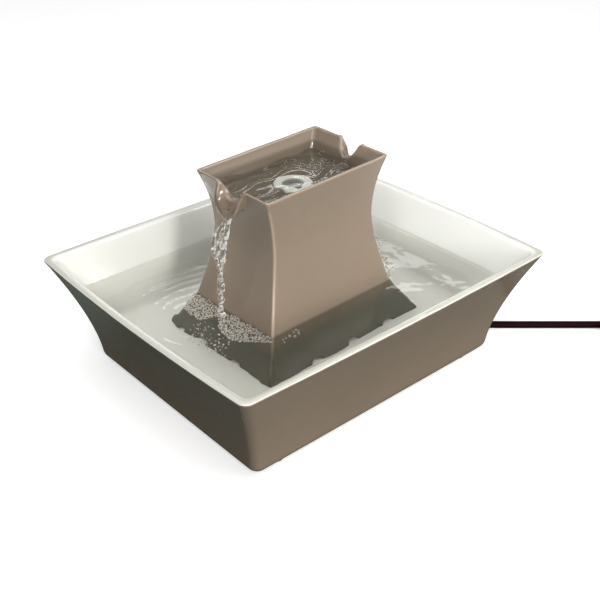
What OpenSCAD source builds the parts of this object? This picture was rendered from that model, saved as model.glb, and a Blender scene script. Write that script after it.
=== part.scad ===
// Ceramic pet water fountain: a flared rectangular basin, a lift-off tower with
// an overflow tray and two pouring spouts, and a submersible pump and filter
// hidden inside the tower. Millimetres, +Z up, origin at the centre of the
// footprint on the surface it stands on. X runs along the long side.

/* [Basin] */
// Half length of the basin at its rim corners
rim_hx = 148; // [146:0.5:150]
// Half width of the basin at its rim corners
rim_hy = 126; // [124:0.5:128]
// Height of the rim above the table
rim_z = 90; // [88:0.5:93]
// How far the wall flares out from foot to rim
flare = 27; // [25:0.5:28]
// Power of the flare curve, 1 is a straight wall
flare_pow = 1.6; // [1.4:0.05:1.8]
// Thickness of the wall, measured level
wall = 7; // [6.5:0.1:7.5]
// Height of the basin floor where the tower stands
floor_z = 13; // [13:0.1:13.5]
// Bow of the short sides at the rim
bow_x = 4; // [2:0.5:4]
// Bow of the long sides at the rim
bow_y = 1.7; // [0:0.1:2]

/* [Tower] */
// Height of the tower rim above the table
tower_z = 166; // [165:0.1:167]
// Half length at the waist
waist_x = 49.4; // [49:0.1:51]
// Half width at the waist
waist_y = 34.4; // [34:0.1:36]
// Extra half length at the foot
foot_x = 29.8; // [28:0.1:31]
// Extra half width at the foot
foot_y = 26.4; // [25:0.1:27]
// Extra half length at the rim
lip_x = 9.9; // [9:0.1:11]
// Extra half width at the rim
lip_y = 5; // [4.5:0.1:6]
// Wall thickness of the tower
tower_wall = 4.6; // [4.2:0.1:4.8]
// Height of the tray floor
tray_z = 142.5; // [142:0.1:143]
// Centres of the water intakes along the long sides
intake_x = [-32, 6, 44];

// How far the loose tower is turned on its seat, in degrees
tower_turn = 1.5; // [0:0.5:2.5]

// Rise of the mouth per millimetre along the length: it is not quite level
mouth_sx = 0.02; // [0:0.005:0.025]
// Rise of the mouth per millimetre along the width
mouth_sy = 0.015; // [0:0.005:0.02]
// How far the middle of the mouth stands above tower_z
mouth_up = 0.9; // [0:0.1:1]

/* [Spouts] */
// Half width of the pouring channel
spout_w = 10; // [9.5:0.1:10.4]
// Reach of the spout lip from the centre
spout_x = 62; // [61.5:0.1:62.5]
// Width of the spout at the +X end against the other, sloping side
far_slope_k = 0.62; // [0.6:0.02:1]
// Width of the spout at the +X end against the other, upright side
far_upright_k = 0.84; // [0.8:0.02:1]
// Sideways offset of each spout from the middle of its side
spout_off = 1.4; // [0:0.1:1.6]
// Height of the sill the water runs over
sill_z = 153; // [152:0.1:154]
// Height of the lowest point of the lip
lip_z = 142.8; // [142:0.1:143.5]

/* [Pump] */
// Height of the rotor axis
axis_z = 38; // [38:0.1:38.2]
// Radius of the fixed ceramic shaft
shaft_r = 1.5; // [1.4:0.05:1.6]
// Running clearance between shaft and rotor
run_gap = 0.05; // [0.03:0.01:0.08]

/* [Cord] */
// Diameter of the free power cord
cord_d = 6; // [5.5:0.1:6]
// Diameter of the pump lead inside the tower
lead_d = 5; // [4.5:0.1:5]

/* [Hidden] */
$fn = 48;
e = 0.01;
taupe = "#8f7f70";
white = "#eeefe9";
dark = "#2b2a2c";

// ---- outlines and lofts -------------------------------------------------
// a quarter arc of five points
function arc5(cx, cy, r, a0) = [for (i = [0:4]) [cx + r * cos(a0 + 22.5 * i), cy + r * sin(a0 + 22.5 * i)]];
function lerp2(p, q, w) = [p[0] * (1 - w) + q[0] * w, p[1] * (1 - w) + q[1] * w];
function side3(p, q) = [for (w = [0.2, 0.5, 0.8]) lerp2(p, q, w)];
// rounded rectangle of 32 points, counter-clockwise, starting mid corner
function rrect(a, b, r) = let (p = rrect0(a, b, r)) [for (i = [0:31]) p[(i + 2) % 32]];
function rrect0(a, b, r) = concat(
  arc5(a - r, b - r, r, 0), side3([a - r, b], [r - a, b]),
  arc5(r - a, b - r, r, 90), side3([-a, b - r], [-a, r - b]),
  arc5(r - a, r - b, r, 180), side3([r - a, -b], [a - r, -b]),
  arc5(a - r, r - b, r, 270), side3([a, r - b], [a, b - r]));
function bowed(p, a, b, bx, by) = [
  p[0] + sign(p[0]) * bx * max(0, 1 - pow(p[1] / b, 2)) * pow(abs(p[0]) / a, 4),
  p[1] + sign(p[1]) * by * max(0, 1 - pow(p[0] / a, 2)) * pow(abs(p[1]) / b, 4)];
function ring(a, b, r, z, bx = 0, by = 0) = [for (p = rrect(a, b, r)) let (q = bowed(p, a, b, bx, by)) [q[0], q[1], z]];
// closed surface through a list of rings, with a flat cap at both ends
module loft(rings) {
  n = len(rings[0]); m = len(rings);
  polyhedron(
    points = [for (r = rings) for (p = r) p],
    faces = concat(
      [[for (i = [0:n - 1]) i]],
      [for (k = [0:m - 2]) for (i = [0:n - 1]) for (h = [0, 1]) let (j = (i + 1) % n)
        h == 0 ? [k * n + i, (k + 1) * n + i, (k + 1) * n + j] : [k * n + i, (k + 1) * n + j, k * n + j]],
      [[for (i = [n - 1:-1:0]) (m - 1) * n + i]]),
    convexity = 6);
}

// ---- basin --------------------------------------------------------------
function bt(z) = max(0, (z - 3) / (rim_z - 3));
function bfl(z) = flare * pow(bt(z), flare_pow);
// ring of the basin wall at height z, set in by d
function bring(z, d, r) = ring(rim_hx - flare + bfl(z) - d, rim_hy - flare + bfl(z) - d, r, z, bow_x * bt(z), bow_y * bt(z));
module basin() color(taupe) {
  fx = rim_hx - flare - 3.5; fy = rim_hy - flare - 3.5;
  difference() {
    union() {
      loft(concat(
        [ring(fx, fy, 6, 1), ring(fx, fy, 6, 4), ring(fx + 2.3, fy + 2.3, 6.4, 4.3), bring(6, 0.7, 6.4)],
        [for (z = [9, 16, 26, 36, 46, 56, 66, 76, 84, rim_z - 1.6]) bring(z, 0, 6.4)],
        [bring(rim_z - 0.5, 0.5, 6.2), bring(rim_z, 1.8, 5.6), bring(rim_z, wall - 1.9, 5), bring(rim_z - 0.5, wall - 0.6, 5)],
        [for (z = [rim_z - 1.8, 80, 70, 60, 50, 40, 31, 24]) bring(z, wall, 6)],
        [bring(19, wall + 1.6, 7), bring(15.4, wall + 4.6, 8), bring(floor_z + 0.5, wall + 9, 8), bring(floor_z, wall + 13.5, 8)]));
      // hollow post that carries the pump lead out above the water
      translate([post_x, post_y, 10]) cylinder(r = 10.5, h = 60);
    }
    // dry recess inside the foot ring
    translate([0, 0, -1]) linear_extrude(9.5) polygon(rrect(fx - 9, fy - 9, 6));
    translate([post_x, post_y, 5]) cylinder(r = 7, h = 70);
    // cord notch in the foot ring
    translate([fx - 12, notch_y, 0]) rotate([90, 0, 90]) linear_extrude(16)
      polygon(concat([[4, -2]], [for (a = [0:20:180]) [4 * cos(a), 3.6 + 4 * sin(a)]], [[-4, -2]]));
    for (p = foot_pts) translate([p[0], p[1], -1]) cylinder(r = 3.5, h = 3.2);
  }
}
post_x = 39; post_y = 24;
notch_y = -71;
foot_pts = [[95, 91], [-95, 91], [-95, -91], [95, -91]];
module feet() color(dark) for (p = foot_pts) translate([p[0], p[1], 0]) cylinder(r = 3.5, h = 2.2);

// ---- tower --------------------------------------------------------------
wz_x = 122; wz_y = 125;
function tx(z) = z < wz_x ? waist_x + foot_x * pow((wz_x - z) / 110, 1.42) : waist_x + lip_x * pow((z - wz_x) / (tower_z - wz_x), 1.95);
function ty(z) = z < wz_y ? waist_y + foot_y * pow((wz_y - z) / 113, 1.6) : waist_y + lip_y * pow((z - wz_y) / (tower_z - wz_y), 1.9);
// the mouth slopes a little, the foot and the tray floor stay level
function smooth01(t) = let (c = min(1, max(0, t))) c * c * (3 - 2 * c);
function tilted(p, l) = [p[0], p[1], p[2] + l * (mouth_up + mouth_sx * p[0] + mouth_sy * p[1])];
function tring(z, d, r, l = -1) = [for (p = ring(tx(z) - d, ty(z) - d, r, z)) tilted(p, l < 0 ? smooth01((z - 112) / 40) : l)];
function end_up(a) = mouth_up + (a == 0 ? 60 : -60) * mouth_sx;
module tower() color(taupe) rotate([0, 0, tower_turn]) difference() {
  union() {
    loft(concat(
      [tring(tray_z - 6.2, 10, 3, 0)],
      [tring(tray_z - 8, 6.2, 3, 0)],
      [for (z = [128, 116, 104, 92, 80, 68, 56, 44, 32, 22]) tring(z, tower_wall, 3)],
      [tring(floor_z + 1, tower_wall + 0.2, 3), tring(floor_z, tower_wall - 0.6, 3.4), tring(floor_z, 1.2, 2.6), tring(floor_z + 1.2, 0, 2.4)],
      [for (z = [22, 32, 44, 56, 68, 80, 92, 104, 116, 128, 138, 148, 156, 162]) tring(z, 0, 2.4)],
      [tring(tower_z - 0.5, 0.1, 2.4), tring(tower_z, 0.7, 2.3), tring(tower_z, 1.7, 2.2), tring(tower_z - 0.5, 2.3, 2.2)],
      [tring(160, 3.2, 2.6), tring(152, 4.2, 3), tring(146.5, 5.2, 3.5, 0.4), tring(tray_z + 0.8, 8, 4, 0), tring(tray_z, 12, 5, 0)]));
    for (a = [0, 180]) rotate([0, 0, a]) translate([0, -spout_off, end_up(a)]) beak(a == 0 ? far_slope_k : 1, a == 0 ? far_upright_k : 1);
  }
  for (a = [0, 180]) rotate([0, 0, a]) translate([0, -spout_off, end_up(a)]) channel(a == 0 ? far_slope_k : 1, a == 0 ? far_upright_k : 1);
  translate([0, 0, tray_z - 9]) cylinder(r = 12.5, h = 12);
  // arched water intakes along the foot
  for (s = [-1, 1]) for (x = intake_x) translate([s * x, s * 48, floor_z]) rotate([s > 0 ? -90 : 90, 0, 0]) cylinder(r = 5, h = 16);
  for (s = [-1, 1]) for (y = [-20, 20]) translate([s * 66, y, floor_z]) rotate([0, s * 90, 0]) cylinder(r = 5, h = 16);
}
// pouring lip that stands out from the short side; one arm is upright and
// the other slopes
module beak(ks, ku) hull() {
  l = spout_w * ku + 1.1; r = spout_w * ks + 1.5; rr = min(10, (l + r) / 2);
  translate([46, -l - 2, 133]) cube([2, l + r + 4, 28]);
  translate([55.5, -l - 1.2, 149]) cube([2, l + r + 3.2, 15]);
  translate([spout_x - 1.6, -l - 1.6, 147]) cube([1.6, 4, 10]);
  translate([spout_x - 1.6, r - 3, 150]) cube([1.6, 3, 7]);
  translate([spout_x - 1.6, 6.2 - l - 1.6, lip_z + 3.8]) rotate([0, 90, 0]) cylinder(r = 6.2, h = 1.6, $fn = 24);
  translate([spout_x - 1.6, r - rr, lip_z + rr - 2.4]) rotate([0, 90, 0]) cylinder(r = rr, h = 1.6, $fn = 24);
}
// U-shaped opening through the short side, and the rounded lip beyond its sill
module channel(ks, ku) {
  t = tower_z; w = spout_w;
  translate([40, 0, 0]) rotate([90, 0, 90]) linear_extrude(26) polygon([for (p = concat(
    [for (a = [180:22.5:270]) [6 - w + 6 * cos(a), sill_z + 6 + 6 * sin(a)]],
    [for (a = [270:22.5:360]) [w - 7.2 + 7 * cos(a), sill_z + 7 + 7 * sin(a)]],
    [[w + 1.5, 158], [w + 3.1, 162], [w + 4.4, 164], [w + 7.4, t + 0.2], [w + 7.4, t + 8]],
    [[-w - 2.6, t + 8], [-w - 2.6, t + 0.2], [-w - 1.3, 164.8], [-w - 0.4, 163.2]])) [p[0] * (p[0] > 0 ? ks : ku), p[1]]]);
  translate([0, w * ks - 2.5, 0]) rotate([90, 0, 0]) linear_extrude(w * (ks + ku) - 5) polygon([
    [55.5, sill_z + 6], [55.5, sill_z], [57.8, sill_z - 1.2], [59.6, sill_z - 3.6], [61, sill_z - 7], [spout_x, lip_z], [66, lip_z - 2], [66, sill_z + 6]]);
}

// ---- outlet in the tray -------------------------------------------------
module outlet_collar() color(white) rotate_extrude() polygon([
  [9.6, tray_z - 12], [12.3, tray_z - 12], [12.3, tray_z + 0.02], [14.6, tray_z + 0.02], [14.8, tray_z + 1.1], [14.3, tray_z + 2.1], [13.2, tray_z + 2.6], [9.4, tray_z + 2.6], [8.4, tray_z + 2.2], [8, tray_z + 1.4], [8, tray_z - 0.4], [9.6, tray_z - 2.4]]);
// flat rubber washer under the tray floor, round the collar's spigot
module collar_gasket() color(dark) translate([0, 0, tray_z - 8.4]) difference() { cylinder(r = 17, h = 2.2); translate([0, 0, -1]) cylinder(r = 12.5, h = 5); }
// rising pipe, tapered so that the collar drops over it
function riser_r(z) = 8.5 - 2.6 * (z - 62) / 78;
module riser_tube() color("#d9dcda") rotate_extrude() polygon([
  [6.2, 57.5], [8.5, 57.5], [8.5, 62], [riser_r(139.5), 139.5], [5.5, 140], [4.9, 140], [4.5, 139.6], [5.6, 66.5], [6.2, 66.5]]);
module riser_seal() color(dark) rotate_extrude() polygon([
  [riser_r(132.6), 132.6], [8.6, 132.6], [9.4, 133.6], [8.4, 134.6], [8.4, 135.2], [9.4, 136.2], [8.6, 137.2], [riser_r(137.2), 137.2]]);

// ---- filter -------------------------------------------------------------
fb0 = -58; fb1 = -9; fby = 32; fbz = 54;
module filter_box() color("#40444a") difference() {
  translate([fb0, -fby, floor_z]) cube([fb1 - fb0, 2 * fby, fbz - floor_z]);
  translate([fb0 + 2, -fby + 2, floor_z + 2]) cube([fb1 - fb0 - 4, 2 * fby - 4, fbz]);
  for (y = [-24:6:24]) translate([fb0 - 1, y - 1.5, 20]) cube([4, 3, 28]);
  translate([fb1 - 3, 0, axis_z]) rotate([0, 90, 0]) cylinder(r = 9, h = 5);
}
module filter_lid() color("#4a4f56") difference() {
  union() {
    translate([fb0, -fby, fbz]) cube([fb1 - fb0, 2 * fby, 2]);
    translate([fb0 + 2.3, -fby + 2.3, fbz - 2.2]) cube([fb1 - fb0 - 4.6, 2 * fby - 4.6, 2.3]);
    translate([-36, -9, fbz + 2 - e]) cube([3, 18, 6]);
  }
  for (x = [-52, -46, -26, -20]) translate([x - 1.2, -22, fbz - 4]) cube([2.4, 44, 8]);
}
module carbon_frame() color("#e4e4de") difference() {
  translate([-55, -29, floor_z + 2]) cube([12, 58, 36]);
  translate([-53.4, -26, floor_z + 5]) cube([8.8, 52, 30]);
  for (y = [-18.5, -5.5, 7.5]) translate([-56, y, floor_z + 5]) cube([14, 11, 30]);
}
module carbon_pouch() color("#f3f2ee") translate([-53.2, -25.8, floor_z + 5.2]) cube([8.4, 51.6, 29.6]);
module foam_block() color("#3c3f42") difference() {
  translate([-41.5, -29.5, floor_z + 2]) cube([19, 59, 36]);
  translate([-30, 0, axis_z]) rotate([0, 90, 0]) cylinder(r = 11.2, h = 12);
}

// ---- pump ---------------------------------------------------------------
module along_x(x, r, h) translate([x, 0, axis_z]) rotate([0, 90, 0]) cylinder(r = r, h = h);
// everything behind the volute sits this much further back
px = 3.6;
module pump_housing() color("#2f3237") translate([px, 0, 0]) difference() {
  union() {
    translate([7, -12, axis_z - 19]) cube([41, 24, 38]);
    translate([4, -17.5, axis_z - 18.5]) cube([3 + e, 35, 37]);
  }
  difference() {
    translate([9, -10.7, axis_z - 17.5]) cube([40, 21.4, 35]);
    along_x(8, 9.2, 20.5);
  }
  along_x(3, 8, 24);
  translate([39 - px, -7, axis_z + 15]) cylinder(r = lead_d / 2, h = 5);
  for (p = cup_pts) translate([p[0], p[1], axis_z - 20]) cylinder(r = 2, h = 2.2);
}
cup_pts = [[12, -8], [12, 8], [43, -8], [43, 8]];
module pump_volute() color("#35393f") difference() {
  union() {
    along_x(-8, 17.5, 11.4 + px);
    along_x(-16, 8.8, 8.5);
    translate([0, 0, axis_z]) cylinder(r = 6.2, h = 28.5);
  }
  along_x(-5.5, 15.2, 16);
  difference() {
    along_x(-17, 7.3, 12);
    // three spokes hold the front bush
    for (a = [0, 120, 240]) translate([-10, 0, axis_z]) rotate([a, 0, 0]) translate([0, -0.9, 2]) cube([4.4, 1.8, 6.5]);
    along_x(-10, 3.6, 4.4);
  }
  along_x(-11, 2.6, 6);
  translate([0, 0, axis_z + 12]) cylinder(r = 4.6, h = 20);
}
module volute_gasket() color(dark) translate([px, 0, 0]) difference() { along_x(3.4, 17.4, 0.6); along_x(3, 15.4, 2); }
module flow_dial() color("#b9bcc0") difference() {
  union() { along_x(-18.5, 10.6, 6.7); for (a = [0:30:330]) translate([-18.5, 0, axis_z]) rotate([a, 0, 0]) translate([0, -0.8, 9.8]) cube([6, 1.6, 1.4]); }
  along_x(-16.5, 8.88, 6);
  for (a = [0, 120, 240]) translate([-19, 0, axis_z]) rotate([a, 0, 0]) intersection() {
    rotate([0, 90, 0]) difference() { cylinder(r = 7.2, h = 4); translate([0, 0, -1]) cylinder(r = 3.2, h = 6); }
    translate([-1, 0, 0]) cube([6, 9, 9]);
  }
}
module impeller() color("#f0f0ec") difference() {
  union() {
    along_x(-4.5, 4.2, 11.5 + px);
    for (a = [0:60:300]) translate([-3.6, 0, axis_z]) rotate([a, 0, 0]) translate([0, -0.7, 3.6]) cube([8, 1.4, 10]);
  }
  along_x(-6, shaft_r + run_gap, 20);
}
module rotor_magnet() color("#26262a") translate([px, 0, 0]) difference() { along_x(7, 7.2, 17.6); along_x(6, shaft_r + run_gap, 20); }
module impeller_shaft() color("#f6f6f2") along_x(-10, shaft_r, 37 + px);
module front_bush() color("#111214") difference() { along_x(-10, 2.6, 4.8); along_x(-12, shaft_r, 9); }
module rear_bush() color("#111214") translate([px, 0, 0]) difference() { along_x(25, 8, 2); along_x(24, shaft_r, 4); }
module stator_core() color("#8e9296") translate([px, 0, 0]) {
  for (s = [-1, 1]) translate([9.6, -7, axis_z + s * 11.75 - 2.25]) cube([31, 14, 4.5]);
  translate([40.5, -7, axis_z - 14]) cube([4.4, 14, 28]);
}
module coil_bobbins() color("#e8e2c8") for (s = [-1, 1]) translate([px, 0, axis_z + s * 11.75]) difference() {
  union() {
    translate([29.6, -10.2, -5.1]) cube([1, 20.4, 10.2]);
    translate([39.3, -10.2, -5.1]) cube([1, 20.4, 10.2]);
    translate([30, -8, -3.2]) cube([10, 16, 6.4]);
  }
  translate([29, -7.1, -2.35]) cube([12, 14.2, 4.7]);
}
module coil_windings() color("#b06a34") for (s = [-1, 1]) translate([px, 0, axis_z + s * 11.75]) difference() {
  translate([30.7, -9.9, -4.9]) cube([8.5, 19.8, 9.8]);
  translate([30, -8.05, -3.25]) cube([10, 16.1, 6.5]);
}
module potting_plug() color("#17181a") translate([45.2 + px, -10.7, axis_z - 17.5]) cube([2.8, 21.4, 35]);
module suction_cups() color("#55585c") for (p = cup_pts) translate([p[0] + px, p[1], 0]) rotate_extrude() polygon([
  [0, axis_z - 17.9], [2, axis_z - 17.9], [2, axis_z - 19], [3, axis_z - 19], [3, axis_z - 21], [5.2, floor_z], [3.6, floor_z], [1.6, floor_z + 1.6], [0, floor_z + 1.8]]);

// ---- pump lead and its connector ----------------------------------------
// tube of n sides along a list of points; the side axis stays near u
function unit(v) = v / norm(v);
function tang(p, i) = unit(i == 0 ? p[1] - p[0] : i == len(p) - 1 ? p[i] - p[i - 1] : unit(p[i + 1] - p[i]) + unit(p[i] - p[i - 1]));
function tring3(c, t, u, r, n) = let (s = unit(cross(t, u)), w = cross(s, t)) [for (k = [0:n - 1]) c + r * (cos(360 * k / n + 180 / n) * s + sin(360 * k / n + 180 / n) * w)];
module sweep(p, r, n, u) loft([for (i = [0:len(p) - 1]) tring3(p[i], tang(p, i), u, r / cos(180 / n), n)]);
lead_pts = concat(
  [for (z = [55.5, 62, 69, 76]) [39, -7, z]],
  [for (a = [180:-15:0]) [39, 9.75 + 16.75 * cos(a), 82 + 16.75 * sin(a)]],
  [for (z = [74, 66, 58, 50, 42, 34, 26]) [39, 26.5, z]],
  [for (a = [0:-15:-90]) [39, 12.5 + 14 * cos(a), 18 + 14 * sin(a)]],
  [[39, 6, 4.2]]);
module pump_lead() color("#202124") sweep(lead_pts, lead_d / 2, 10, [1, 0, 0]);
module lead_boot() color("#26282b") difference() {
  translate([39, -7, axis_z + 19]) cylinder(r1 = 4.6, r2 = 3.2, h = 20);
  translate([39, -7, axis_z + 18]) cylinder(r = lead_d / 2, h = 22);
}
module conduit_grommet() color(dark) difference() {
  union() { translate([post_x, post_y, 62]) cylinder(r = 7, h = 8.5); translate([post_x, post_y, 70]) cylinder(r = 9.6, h = 2.6); }
  translate([39, 26.5, 60]) cylinder(r = lead_d / 2, h = 14);
}
module along_y(y, r, h, z = 4.3) translate([39, y, z]) rotate([90, 0, 0]) cylinder(r = r, h = h);
module inline_plug() color("#1c1d1f") difference() {
  union() { along_y(8, 3.6, 7); along_y(2, 4.1, 10); along_y(-7, 1.9, 7); }
  along_y(10, lead_d / 2, 4, 4.2);
}
module inline_socket() color("#1c1d1f") difference() {
  union() { along_y(-8, 4.1, 12); along_y(-19, 3.9, 5); }
  along_y(-7, 1.9, 8);
}
module connector_clip() color("#c9ccce") difference() {
  translate([32, -18, 4.2]) cube([14, 7, 4.3]);
  along_y(-10, 4.1, 9);
}
module cord_boot() color("#1c1d1f") difference() {
  translate([39, -24, 4.2]) rotate([90, 0, 0]) cylinder(r1 = 4.2, r2 = 3.4, h = 24);
  along_y(-26, cord_d / 2, 24, 4.0);
}

// ---- free power cord, stored in a round coil ----------------------------
// route points, round numbers; the cord lies on the table from the notch on
coil_c = [222, -200];
cord_pts = concat(
  [[39, -27, 4]],
  [for (a = [180:15:270]) [64 + 25 * cos(a), -46 + 25 * sin(a), 4 - (a - 180) / 90]],
  [[80, -71, 3], [95, -71, 3], [108, -71, 3], [120, -71, 3], [127, -71.5, 3], [134, -73, 3], [140.5, -75.8, 3], [146.4, -79.9, 3], [152, -85, 3]],
  [[162, -94, 3], [180, -110, 3], [198, -126, 3], [216, -142, 3], [229.5, -154, 3]]);
module power_cord() color("#1a1214") sweep(cord_pts, cord_d / 2, 8, [0, 0, 1]);
module cord_tail() color("#1a1214") translate([157, -238, 15]) rotate([0, 90, 0]) cylinder(r = cord_d / 2, h = 47);
module cord_coil() color("#1a1214") translate([coil_c[0], coil_c[1], 0]) rotate_extrude($fn = 64)
  polygon([[25, 1], [41, 1], [42.6, 2.6], [42.6, 17.4], [41, 19], [25, 19], [23.4, 17.4], [23.4, 2.6]]);
module coil_tie() color("#3a3a3c") translate([coil_c[0], coil_c[1] - 33, 10]) difference() {
  translate([-3, -10.8, -10]) cube([6, 21.6, 20]);
  translate([-4, -9.6, -9]) cube([8, 19.2, 18]);
}
module adapter_boot() color("#1c1214") adapter_place() difference() {
  translate([-30, 0, 0]) rotate([0, 90, 0]) cylinder(r1 = 3.6, r2 = 5, h = 30);
  translate([-31, 0, 0]) rotate([0, 90, 0]) cylinder(r = cord_d / 2, h = 24);
}
module adapter_place() translate([150, -238, 15]) rotate([0, 0, 180]) children();
module adapter_body() color("#1d1d1f") adapter_place() hull() {
  for (y = [-17, 17]) for (z = [-12, 12]) { translate([2, y, z]) sphere(r = 2, $fn = 16); translate([34, y, z]) rotate([0, 90, 0]) cylinder(r = 3, h = 1, $fn = 16); }
}
module adapter_cover() color("#1d1d1f") adapter_place() translate([35, -18, -13]) cube([5, 36, 26]);
module adapter_blades() color("#c8c4b8") adapter_place() for (y = [-6.35, 6.35]) translate([40, y - 0.75, -3.2]) cube([16, 1.5, 6.4]);

basin();
feet();
tower();
outlet_collar();
collar_gasket();
riser_tube();
riser_seal();
filter_box();
filter_lid();
carbon_frame();
carbon_pouch();
foam_block();
pump_housing();
pump_volute();
volute_gasket();
flow_dial();
impeller();
rotor_magnet();
impeller_shaft();
front_bush();
rear_bush();
stator_core();
coil_bobbins();
coil_windings();
potting_plug();
suction_cups();
pump_lead();
lead_boot();
conduit_grommet();
inline_plug();
inline_socket();
connector_clip();
cord_boot();
power_cord();
cord_coil();
coil_tie();
cord_tail();
adapter_boot();
adapter_body();
adapter_cover();
adapter_blades();
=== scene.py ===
import math
import bpy
import numpy as np
from mathutils import Matrix, Vector


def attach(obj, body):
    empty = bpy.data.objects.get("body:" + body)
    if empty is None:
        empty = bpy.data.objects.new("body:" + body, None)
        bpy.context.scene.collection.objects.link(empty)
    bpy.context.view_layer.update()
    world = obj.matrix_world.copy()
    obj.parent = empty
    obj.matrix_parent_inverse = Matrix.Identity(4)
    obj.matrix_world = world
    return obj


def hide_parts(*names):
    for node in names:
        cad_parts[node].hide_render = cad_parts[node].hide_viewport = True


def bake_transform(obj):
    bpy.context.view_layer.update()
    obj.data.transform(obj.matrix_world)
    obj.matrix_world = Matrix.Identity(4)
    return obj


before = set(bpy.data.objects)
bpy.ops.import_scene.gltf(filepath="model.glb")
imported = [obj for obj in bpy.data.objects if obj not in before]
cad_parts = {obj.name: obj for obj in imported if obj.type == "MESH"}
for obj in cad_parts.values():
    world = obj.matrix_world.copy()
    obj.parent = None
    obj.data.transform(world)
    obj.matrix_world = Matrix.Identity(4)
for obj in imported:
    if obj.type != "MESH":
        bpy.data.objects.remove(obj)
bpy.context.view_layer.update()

MM = 0.001
scene = bpy.context.scene
scene.view_settings.view_transform = "Standard"
scene.view_settings.look = "None"
rng = np.random.default_rng(41)

# ---------------------------------------------------------------- camera
RIGHT = Vector((0.75476861, -0.65594267, -0.00797307))
UP = Vector((0.33753628, 0.37791114, 0.86212089))
FWD = Vector((0.56248876, 0.65339298, -0.50663991))
cam_data = bpy.data.cameras.new("camera")
cam = bpy.data.objects.new("camera", cam_data)
scene.collection.objects.link(cam)
cam_data.sensor_fit = "HORIZONTAL"
cam_data.sensor_width = 36.0
cam_data.lens = 974.2 / 600 * 36.0
cam_data.shift_x = 0.0022
cam_data.shift_y = -0.0163
cam_data.clip_start, cam_data.clip_end = 0.02, 20
rot = Matrix((RIGHT, UP, -FWD)).transposed()
cam.matrix_world = Matrix.Translation(Vector((-0.42603, -0.49982, 0.44465))) @ rot.to_4x4()
scene.camera = cam

# ---------------------------------------------------------------- node helpers
def new_mat(name):
    m = bpy.data.materials.new(name)
    m.use_nodes = True
    nt = m.node_tree
    nt.nodes.clear()
    out = nt.nodes.new("ShaderNodeOutputMaterial")
    p = nt.nodes.new("ShaderNodeBsdfPrincipled")
    nt.links.new(p.outputs[0], out.inputs[0])
    return m, nt, p, out


def node(nt, kind, **kw):
    n = nt.nodes.new(kind)
    for k, v in kw.items():
        if k in ("ins",):
            for key, val in v.items():
                n.inputs[key].default_value = val
        else:
            setattr(n, k, v)
    return n


def coords(nt, scale=1.0):
    """Object coordinates in metres times a scale."""
    tc = nt.nodes.new("ShaderNodeTexCoord")
    mp = nt.nodes.new("ShaderNodeMapping")
    if isinstance(scale, (int, float)):
        scale = (scale, scale, scale)
    mp.inputs["Scale"].default_value = scale
    nt.links.new(tc.outputs["Object"], mp.inputs["Vector"])
    return mp.outputs["Vector"]


def noise(nt, vec, scale, detail=2.0, rough=0.5, distortion=0.0):
    n = node(nt, "ShaderNodeTexNoise", ins={"Scale": scale, "Detail": detail, "Roughness": rough, "Distortion": distortion})
    nt.links.new(vec, n.inputs["Vector"])
    return n.outputs["Fac"]


def ramp(nt, fac, stops, interp="LINEAR"):
    r = nt.nodes.new("ShaderNodeValToRGB")
    r.color_ramp.interpolation = interp
    while len(r.color_ramp.elements) < len(stops):
        r.color_ramp.elements.new(0.5)
    for e, (pos, col) in zip(r.color_ramp.elements, stops):
        e.position = pos
        e.color = (*col, 1.0) if len(col) == 3 else col
    nt.links.new(fac, r.inputs["Fac"])
    return r.outputs["Color"]


def mix(nt, a, b, fac, mode="MIX"):
    m = nt.nodes.new("ShaderNodeMix")
    m.data_type = "RGBA"
    m.blend_type = mode
    for sock, v in ((m.inputs[6], a), (m.inputs[7], b)):
        if isinstance(v, (tuple, list)):
            sock.default_value = (*v, 1.0) if len(v) == 3 else v
        else:
            nt.links.new(v, sock)
    if isinstance(fac, (int, float)):
        m.inputs[0].default_value = fac
    else:
        nt.links.new(fac, m.inputs[0])
    return m.outputs[2]


def math_node(nt, op, a, b=None, clamp=False):
    m = nt.nodes.new("ShaderNodeMath")
    m.operation = op
    m.use_clamp = clamp
    for i, v in enumerate((a, b)):
        if v is None:
            continue
        if isinstance(v, (int, float)):
            m.inputs[i].default_value = v
        else:
            nt.links.new(v, m.inputs[i])
    return m.outputs[0]


def map_range(nt, v, a, b, c, d):
    m = nt.nodes.new("ShaderNodeMapRange")
    for i, x in zip((1, 2, 3, 4), (a, b, c, d)):
        m.inputs[i].default_value = x
    nt.links.new(v, m.inputs[0])
    return m.outputs[0]


def bump(nt, height, strength, distance, normal=None):
    b = nt.nodes.new("ShaderNodeBump")
    b.inputs["Strength"].default_value = strength
    b.inputs["Distance"].default_value = distance
    nt.links.new(height, b.inputs["Height"])
    if normal is not None:
        nt.links.new(normal, b.inputs["Normal"])
    return b.outputs["Normal"]


def srgb(r, g, b):
    def f(v):
        v /= 255.0
        return v / 12.92 if v <= 0.04045 else ((v + 0.055) / 1.055) ** 2.4
    return (f(r), f(g), f(b))


# ---------------------------------------------------------------- mesh helpers
def make_obj(name, verts, faces, mats, body, smooth=True, mat_index=None, attrs=None):
    """A mesh object from millimetre vertices; faces is a list of lists or an array of quads or triangles."""
    me = bpy.data.meshes.new(name)
    v = np.asarray(verts, float) * MM
    if isinstance(faces, np.ndarray):
        faces = faces.tolist()
    me.from_pydata(v.tolist(), [], faces)
    me.update()
    for m in mats:
        me.materials.append(m)
    if mat_index is not None:
        me.polygons.foreach_set("material_index", np.asarray(mat_index, np.int32))
    me.polygons.foreach_set("use_smooth", np.full(len(me.polygons), smooth, bool))
    for k, a in (attrs or {}).items():
        at = me.attributes.new(k, "FLOAT", "POINT")
        at.data.foreach_set("value", np.asarray(a, np.float32))
    me.validate()
    ob = bpy.data.objects.new(name, me)
    scene.collection.objects.link(ob)
    if body:
        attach(ob, body)
    return ob


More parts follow.
